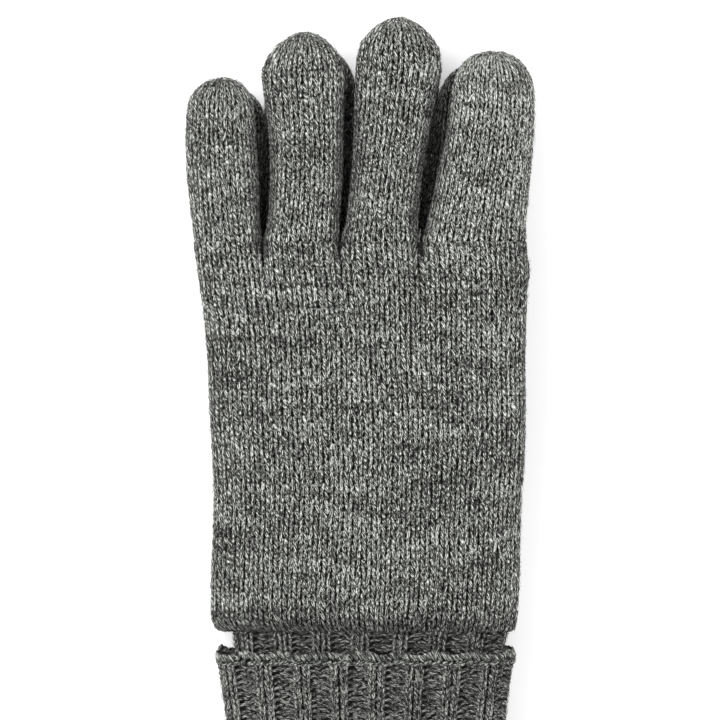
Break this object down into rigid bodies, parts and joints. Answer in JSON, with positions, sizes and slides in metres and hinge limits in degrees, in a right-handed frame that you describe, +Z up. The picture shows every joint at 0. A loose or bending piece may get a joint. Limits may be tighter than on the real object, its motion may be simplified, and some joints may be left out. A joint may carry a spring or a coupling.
{
  "type": "pair of knitted touchscreen gloves",
  "caption": "Pair of marl-knit gloves laid palm to palm, thumbs folded in, with turned-up ribbed cuffs and touch-screen index and thumb tips.",
  "frame": {"origin": "middle of the pair's plan, on the surface that the lower glove lies on", "axes": "+Y towards the fingertips, +X towards the thumb side, +Z up through the stacked gloves"},
  "size_m": [0.1077, 0.25, 0.034],
  "materials": {
    "plain_knit": "grey marl wool-blend plain knit, matt with a soft fibre halo",
    "rib_knit": "grey marl two-by-two rib knit, matt",
    "cast_off_edge": "grey marl cast-off chain edge, matt",
    "touch_knit": "grey marl plain knit with a conductive yarn twisted in, matt with faint metal glints"
  },
  "bodies": {
    "right_glove": {"right_hand": "plain_knit", "right_wrist_rib": "rib_knit"},
    "right_little": {"right_little_finger": "plain_knit"},
    "right_ring": {"right_ring_finger": "plain_knit"},
    "right_middle": {"right_middle_finger": "plain_knit"},
    "right_index": {"right_index_finger": "plain_knit", "right_index_touch_tip": "touch_knit"},
    "right_thumb_part": {"right_thumb": "plain_knit", "right_thumb_touch_tip": "touch_knit"},
    "right_cuff_part": {"right_cuff": "rib_knit", "right_cuff_edge": "cast_off_edge"},
    "left_glove": {"left_hand": "plain_knit", "left_wrist_rib": "rib_knit"},
    "left_little": {"left_little_finger": "plain_knit"},
    "left_ring": {"left_ring_finger": "plain_knit"},
    "left_middle": {"left_middle_finger": "plain_knit"},
    "left_index": {"left_index_finger": "plain_knit", "left_index_touch_tip": "touch_knit"},
    "left_thumb_part": {"left_thumb": "plain_knit", "left_thumb_touch_tip": "touch_knit"},
    "left_cuff_part": {"left_cuff": "rib_knit", "left_cuff_edge": "cast_off_edge"}
  },
  "joints": [
    {"name": "left_glove_lift", "type": "slide", "parent": "right_glove", "child": "left_glove", "axis": [0, 0, 1], "range_m": [0, 0.08]},
    {"name": "left_little_fold", "type": "hinge", "parent": "left_glove", "child": "left_little", "pos_m": [-0.0402, 0.056, 0.0342], "axis": [1, 0, 0], "range_deg": [0, 60]},
    {"name": "left_ring_fold", "type": "hinge", "parent": "left_glove", "child": "left_ring", "pos_m": [-0.0178, 0.056, 0.0342], "axis": [1, 0, 0], "range_deg": [0, 60]},
    {"name": "left_middle_fold", "type": "hinge", "parent": "left_glove", "child": "left_middle", "pos_m": [0.0063, 0.056, 0.0342], "axis": [1, 0, 0], "range_deg": [0, 60]},
    {"name": "left_index_fold", "type": "hinge", "parent": "left_glove", "child": "left_index", "pos_m": [0.0347, 0.056, 0.0342], "axis": [1, 0, 0], "range_deg": [0, 60]},
    {"name": "left_thumb_swing", "type": "hinge", "parent": "left_glove", "child": "left_thumb_part", "pos_m": [0.028, -0.006, 0.0206], "axis": [0, 0, -1], "range_deg": [0, 50]},
    {"name": "left_cuff_pull", "type": "slide", "parent": "left_glove", "child": "left_cuff_part", "axis": [0, -1, 0], "range_m": [0, 0.046]},
    {"name": "right_little_spread", "type": "hinge", "parent": "right_glove", "child": "right_little", "pos_m": [-0.0505, 0.056, 0.0085], "axis": [0, 0, 1], "range_deg": [0, 12]},
    {"name": "right_ring_spread", "type": "hinge", "parent": "right_glove", "child": "right_ring", "pos_m": [-0.0294, 0.056, 0.0085], "axis": [0, 0, 1], "range_deg": [0, 5]},
    {"name": "right_index_spread", "type": "hinge", "parent": "right_glove", "child": "right_index", "pos_m": [0.0506, 0.056, 0.0085], "axis": [0, 0, -1], "range_deg": [0, 12]},
    {"name": "right_middle_spread", "type": "hinge", "parent": "right_glove", "child": "right_middle", "pos_m": [0.018, 0.056, 0.0085], "axis": [0, 0, -1], "range_deg": [0, 4]},
    {"name": "right_thumb_swing", "type": "hinge", "parent": "right_glove", "child": "right_thumb_part", "pos_m": [0.028, -0.006, 0.0134], "axis": [0, 0, -1], "range_deg": [0, 50]},
    {"name": "right_cuff_pull", "type": "slide", "parent": "right_glove", "child": "right_cuff_part", "axis": [0, -1, 0], "range_m": [0, 0.046]}
  ],
  "couplings": [
    {"joint": "right_ring_spread", "follows": "right_little_spread", "ratio": 0.375},
    {"joint": "right_middle_spread", "follows": "right_index_spread", "ratio": 0.25}
  ]
}
